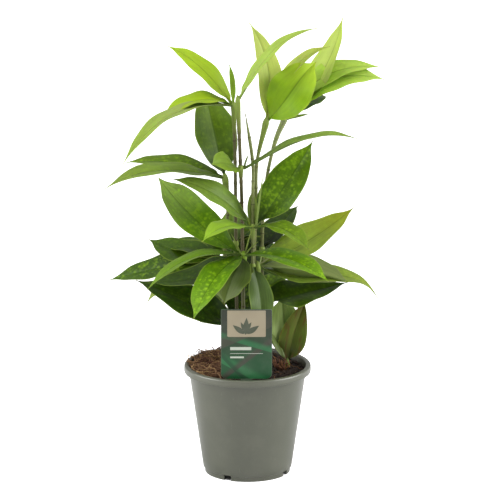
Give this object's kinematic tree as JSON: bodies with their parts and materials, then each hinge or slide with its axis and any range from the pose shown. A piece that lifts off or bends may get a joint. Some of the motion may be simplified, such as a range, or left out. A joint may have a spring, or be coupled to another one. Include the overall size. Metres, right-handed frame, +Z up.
{
  "type": "potted gold dust dracaena",
  "caption": "Potted foliage plant: thin upright canes with whorls of pointed oval leaves in a tapered round nursery pot, with a blank card label in the soil.",
  "frame": {"origin": "centre of the pot's foot on the ground", "axes": "+X to the right of the front view, +Y to the back, +Z up"},
  "size_m": [0.2656, 0.1878, 0.4346],
  "materials": {
    "pot_plastic": "satin moulded grey-green plastic",
    "soil": "damp potting soil with coconut fibre",
    "card_print": "printed satin plastic card",
    "cane_bark": "smooth green-brown cane with ringed nodes",
    "leaf_young": "soft satin yellow-green young leaf",
    "leaf_mature": "glossy dark green leaf with pale gold speckles"
  },
  "bodies": {
    "root": {"pot": "pot_plastic", "soil": "soil", "card_label": "card_print", "cane_left": "cane_bark", "cane_tall": "cane_bark", "cane_spear": "cane_bark", "cane_centre": "cane_bark", "cane_right": "cane_bark", "cane_back": "cane_bark", "cane_front": "cane_bark", "cane_low": "cane_bark", "cane_short": "cane_bark", "leaves_crown_left": "leaf_young", "leaf_tall_arch": "leaf_young", "leaves_tall_node": "leaf_mature", "leaves_crown_centre": "leaf_young", "leaves_crown_right": "leaf_young", "leaves_side_shoot": "leaf_mature", "leaves_middle": "leaf_mature", "leaves_front": "leaf_mature", "leaves_back_left": "leaf_mature", "leaves_low": "leaf_mature", "leaf_low_right": "leaf_mature", "leaf_hanging": "leaf_mature", "leaves_base": "leaf_mature", "leaves_soil_right": "leaf_mature", "leaves_left_node": "leaf_mature", "leaves_right_node": "leaf_mature", "leaves_back_low": "leaf_mature"}
  },
  "joints": []
}
